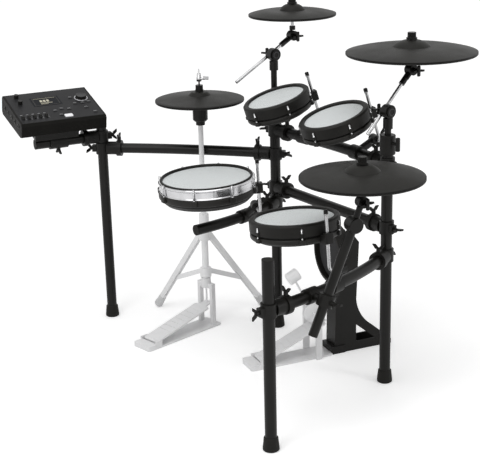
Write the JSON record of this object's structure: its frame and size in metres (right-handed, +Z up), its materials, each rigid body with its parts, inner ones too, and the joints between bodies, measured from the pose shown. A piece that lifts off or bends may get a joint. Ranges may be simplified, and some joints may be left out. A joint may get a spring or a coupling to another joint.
{
  "type": "electronic drum kit",
  "caption": "Electronic drum kit on a black tube rack with mesh drum pads, rubber cymbal pads, a pedal hi-hat, a kick tower with its pedal and a sound module.",
  "frame": {"origin": "on the floor under the middle of the whole kit", "axes": "+X to the player's right, +Y away from the player, +Z up"},
  "size_m": [1.7576, 1.1412, 1.2575],
  "materials": {
    "rack_tube": "satin black powder coat",
    "clamp_plastic": "matte black moulding",
    "foot_rubber": "matte black rubber",
    "pad_shell": "fine-grained black",
    "rim_rubber": "soft black rubber",
    "mesh_head": "light grey woven mesh",
    "kick_cloth": "dark cloth over foam",
    "hoop_chrome": "bright chrome",
    "rod_chrome": "bright chrome",
    "tilter_black": "satin black",
    "cymbal_rubber": "dark rubber with fine circular grooves",
    "stand_steel": "pale grey satin",
    "pedal_paint": "pale grey satin",
    "tower_paint": "satin black",
    "module_case": "matte black",
    "module_panel": "satin charcoal",
    "display_glass": "glossy dark window",
    "control_black": "matte black",
    "lit_key": "translucent white"
  },
  "bodies": {
    "rack": {"front_legs": "rack_tube", "rear_pillars": "rack_tube", "side_arms": "rack_tube", "cross_bars": "rack_tube", "branch_arms": "rack_tube", "feet_and_caps": "foot_rubber", "tee_clamps": "clamp_plastic", "rod_clamps": "clamp_plastic", "wing_bolts": "clamp_plastic", "cymbal_posts": "rack_tube", "hihat_stand": "stand_steel", "hihat_pedal_frame": "pedal_paint", "kick_tower": "tower_paint", "kick_rim": "rim_rubber", "kick_head": "kick_cloth", "pedal_base": "pedal_paint"},
    "snare": {"snare_shell": "pad_shell", "snare_hoop": "hoop_chrome", "snare_rim": "rim_rubber", "snare_head": "mesh_head", "snare_rod": "rod_chrome"},
    "tom_1": {"tom_1_shell": "pad_shell", "tom_1_rim": "rim_rubber", "tom_1_head": "mesh_head", "tom_1_rod": "rod_chrome"},
    "tom_2": {"tom_2_shell": "pad_shell", "tom_2_rim": "rim_rubber", "tom_2_head": "mesh_head", "tom_2_rod": "rod_chrome"},
    "tom_3": {"tom_3_shell": "pad_shell", "tom_3_rim": "rim_rubber", "tom_3_head": "mesh_head", "tom_3_rod": "rod_chrome"},
    "left_crash_boom": {"left_crash_boom": "rod_chrome"},
    "ride_boom": {"ride_boom": "rod_chrome"},
    "left_crash_tilter": {"left_crash_tilter": "tilter_black"},
    "left_crash_pad": {"left_crash_pad": "cymbal_rubber"},
    "ride_tilter": {"ride_tilter": "tilter_black"},
    "ride_pad": {"ride_pad": "cymbal_rubber"},
    "right_crash_tilter": {"right_crash_tilter": "tilter_black"},
    "right_crash_pad": {"right_crash_pad": "cymbal_rubber"},
    "hihat_footboard": {"hihat_footboard": "pedal_paint"},
    "hihat_pull_rod": {"hihat_pull_rod": "stand_steel"},
    "hihat_pad": {"hihat_pad": "cymbal_rubber"},
    "pedal_footboard": {"pedal_footboard": "pedal_paint"},
    "pedal_beater": {"pedal_beater": "stand_steel"},
    "pedal_chain": {"pedal_chain": "stand_steel"},
    "module": {"module_case": "module_case", "module_panel": "module_panel", "module_display": "display_glass", "module_mount": "clamp_plastic"},
    "value_dial": {"value_dial": "control_black"},
    "volume_knob": {"volume_knob": "control_black"},
    "phones_knob": {"phones_knob": "control_black"},
    "lit_button": {"lit_button": "lit_key"},
    "fader_1": {"fader_1": "control_black"},
    "fader_2": {"fader_2": "control_black"},
    "fader_3": {"fader_3": "control_black"},
    "fader_4": {"fader_4": "control_black"},
    "fader_5": {"fader_5": "control_black"}
  },
  "joints": [
    {"name": "snare_tilt", "type": "hinge", "parent": "rack", "child": "snare", "pos_m": [-0.0441, 0.05517, 0.55502], "axis": [0.9063, -0.4226, 0], "range_deg": [-6, 6]},
    {"name": "tom_1_tilt", "type": "hinge", "parent": "rack", "child": "tom_1", "pos_m": [-0.0197, 0.32207, 0.83059], "axis": [0.9511, -0.309, 0], "range_deg": [-10, 8]},
    {"name": "tom_2_tilt", "type": "hinge", "parent": "rack", "child": "tom_2", "pos_m": [0.28309, 0.33357, 0.81759], "axis": [0.9659, -0.2588, 0], "range_deg": [-10, 8]},
    {"name": "tom_3_tilt", "type": "hinge", "parent": "rack", "child": "tom_3", "pos_m": [0.59938, -0.07372, 0.52493], "axis": [0.0349, -0.9994, 0], "range_deg": [-8, 8]},
    {"name": "left_crash_boom_swing", "type": "hinge", "parent": "rack", "child": "left_crash_boom", "pos_m": [-0.17572, 0.24028, 1.062], "axis": [-0.9976, 0.0698, 0], "range_deg": [-15, 15]},
    {"name": "left_crash_tilt", "type": "hinge", "parent": "left_crash_boom", "child": "left_crash_tilter", "pos_m": [-0.19004, 0.33665, 1.11917], "axis": [-0.9976, 0.0698, 0], "range_deg": [-15, 15]},
    {"name": "left_crash_rock", "type": "hinge", "parent": "left_crash_tilter", "child": "left_crash_pad", "pos_m": [-0.19004, 0.33665, 1.19694], "axis": [-0.9976, 0.0698, 0], "range_deg": [-5, 5], "stiffness_Nm_per_rad": 4},
    {"name": "ride_boom_swing", "type": "hinge", "parent": "rack", "child": "ride_boom", "pos_m": [0.45628, 0.24028, 0.957], "axis": [-1, 0, 0], "range_deg": [-15, 15]},
    {"name": "ride_tilt", "type": "hinge", "parent": "ride_boom", "child": "ride_tilter", "pos_m": [0.43528, 0.35559, 1.07641], "axis": [-1, 0, 0], "range_deg": [-15, 15]},
    {"name": "ride_rock", "type": "hinge", "parent": "ride_tilter", "child": "ride_pad", "pos_m": [0.43528, 0.35559, 1.13839], "axis": [-1, 0, 0], "range_deg": [-5, 5], "stiffness_Nm_per_rad": 4},
    {"name": "right_crash_tilt", "type": "hinge", "parent": "rack", "child": "right_crash_tilter", "pos_m": [0.68828, -0.05972, 0.762], "axis": [0.9815, -0.1912, 0], "range_deg": [-15, 15]},
    {"name": "right_crash_rock", "type": "hinge", "parent": "right_crash_tilter", "child": "right_crash_pad", "pos_m": [0.68828, -0.05972, 0.84141], "axis": [0.9815, -0.1912, 0], "range_deg": [-5, 5], "stiffness_Nm_per_rad": 4},
    {"name": "hihat_pedal_press", "type": "hinge", "parent": "rack", "child": "hihat_footboard", "pos_m": [-0.31043, -0.24743, 0.024], "axis": [0.9848, 0.1736, 0], "range_deg": [-5.07, 0], "stiffness_Nm_per_rad": 30, "springref_deg": 2.86},
    {"name": "hihat_rod_pull", "type": "slide", "parent": "rack", "child": "hihat_pull_rod", "axis": [0, 0, 1], "range_m": [-0.026, 0]},
    {"name": "hihat_rock", "type": "hinge", "parent": "hihat_pull_rod", "child": "hihat_pad", "pos_m": [-0.35975, 0.03225, 0.906], "axis": [0.9848, 0.1736, 0], "range_deg": [-4, 4], "stiffness_Nm_per_rad": 4},
    {"name": "kick_pedal_press", "type": "hinge", "parent": "rack", "child": "pedal_footboard", "pos_m": [0.08209, -0.02451, 0.024], "axis": [0.9816, -0.1908, 0], "range_deg": [-5.48, 0], "stiffness_Nm_per_rad": 40, "springref_deg": 3.44},
    {"name": "beater_swing", "type": "hinge", "parent": "rack", "child": "pedal_beater", "pos_m": [0.12216, 0.18164, 0.166], "axis": [0.9816, -0.1908, 0], "range_deg": [-42.5, 0]},
    {"name": "chain_swing", "type": "hinge", "parent": "pedal_footboard", "child": "pedal_chain", "pos_m": [0.12822, 0.21285, 0.1299], "axis": [0.9816, -0.1908, 0], "range_deg": [0, 15.93]},
    {"name": "module_tilt", "type": "hinge", "parent": "rack", "child": "module", "pos_m": [-0.6959, -0.39432, 0.739], "axis": [-0.1444, -0.9895, 0], "range_deg": [-10, 10]},
    {"name": "value_dial_turn", "type": "hinge", "parent": "module", "child": "value_dial", "pos_m": [-0.72934, -0.27084, 0.88482], "axis": [0.2561, -0.0374, 0.9659], "continuous": true},
    {"name": "volume_knob_turn", "type": "hinge", "parent": "module", "child": "volume_knob", "pos_m": [-0.82082, -0.4947, 0.90041], "axis": [0.2561, -0.0374, 0.9659], "range_deg": [-150, 150]},
    {"name": "phones_knob_turn", "type": "hinge", "parent": "module", "child": "phones_knob", "pos_m": [-0.77073, -0.50201, 0.88685], "axis": [0.2561, -0.0374, 0.9659], "range_deg": [-150, 150]},
    {"name": "fader_1_slide", "type": "slide", "parent": "module", "child": "fader_1", "axis": [-0.9558, 0.1394, 0.2588], "range_m": [-0.012, 0.012]},
    {"name": "fader_2_slide", "type": "slide", "parent": "module", "child": "fader_2", "axis": [-0.9558, 0.1394, 0.2588], "range_m": [-0.012, 0.012]},
    {"name": "fader_3_slide", "type": "slide", "parent": "module", "child": "fader_3", "axis": [-0.9558, 0.1394, 0.2588], "range_m": [-0.012, 0.012]},
    {"name": "fader_4_slide", "type": "slide", "parent": "module", "child": "fader_4", "axis": [-0.9558, 0.1394, 0.2588], "range_m": [-0.012, 0.012]},
    {"name": "fader_5_slide", "type": "slide", "parent": "module", "child": "fader_5", "axis": [-0.9558, 0.1394, 0.2588], "range_m": [-0.012, 0.012]},
    {"name": "lit_button_press", "type": "slide", "parent": "module", "child": "lit_button", "axis": [0.2561, -0.0374, 0.9659], "range_m": [-0.0015, 0], "stiffness_N_per_m": 400}
  ],
  "couplings": [
    {"joint": "hihat_rod_pull", "follows": "hihat_pedal_press", "m_per_rad": 0.2938},
    {"joint": "beater_swing", "follows": "kick_pedal_press", "ratio": 7.755},
    {"joint": "chain_swing", "follows": "kick_pedal_press", "ratio": -2.815}
  ]
}
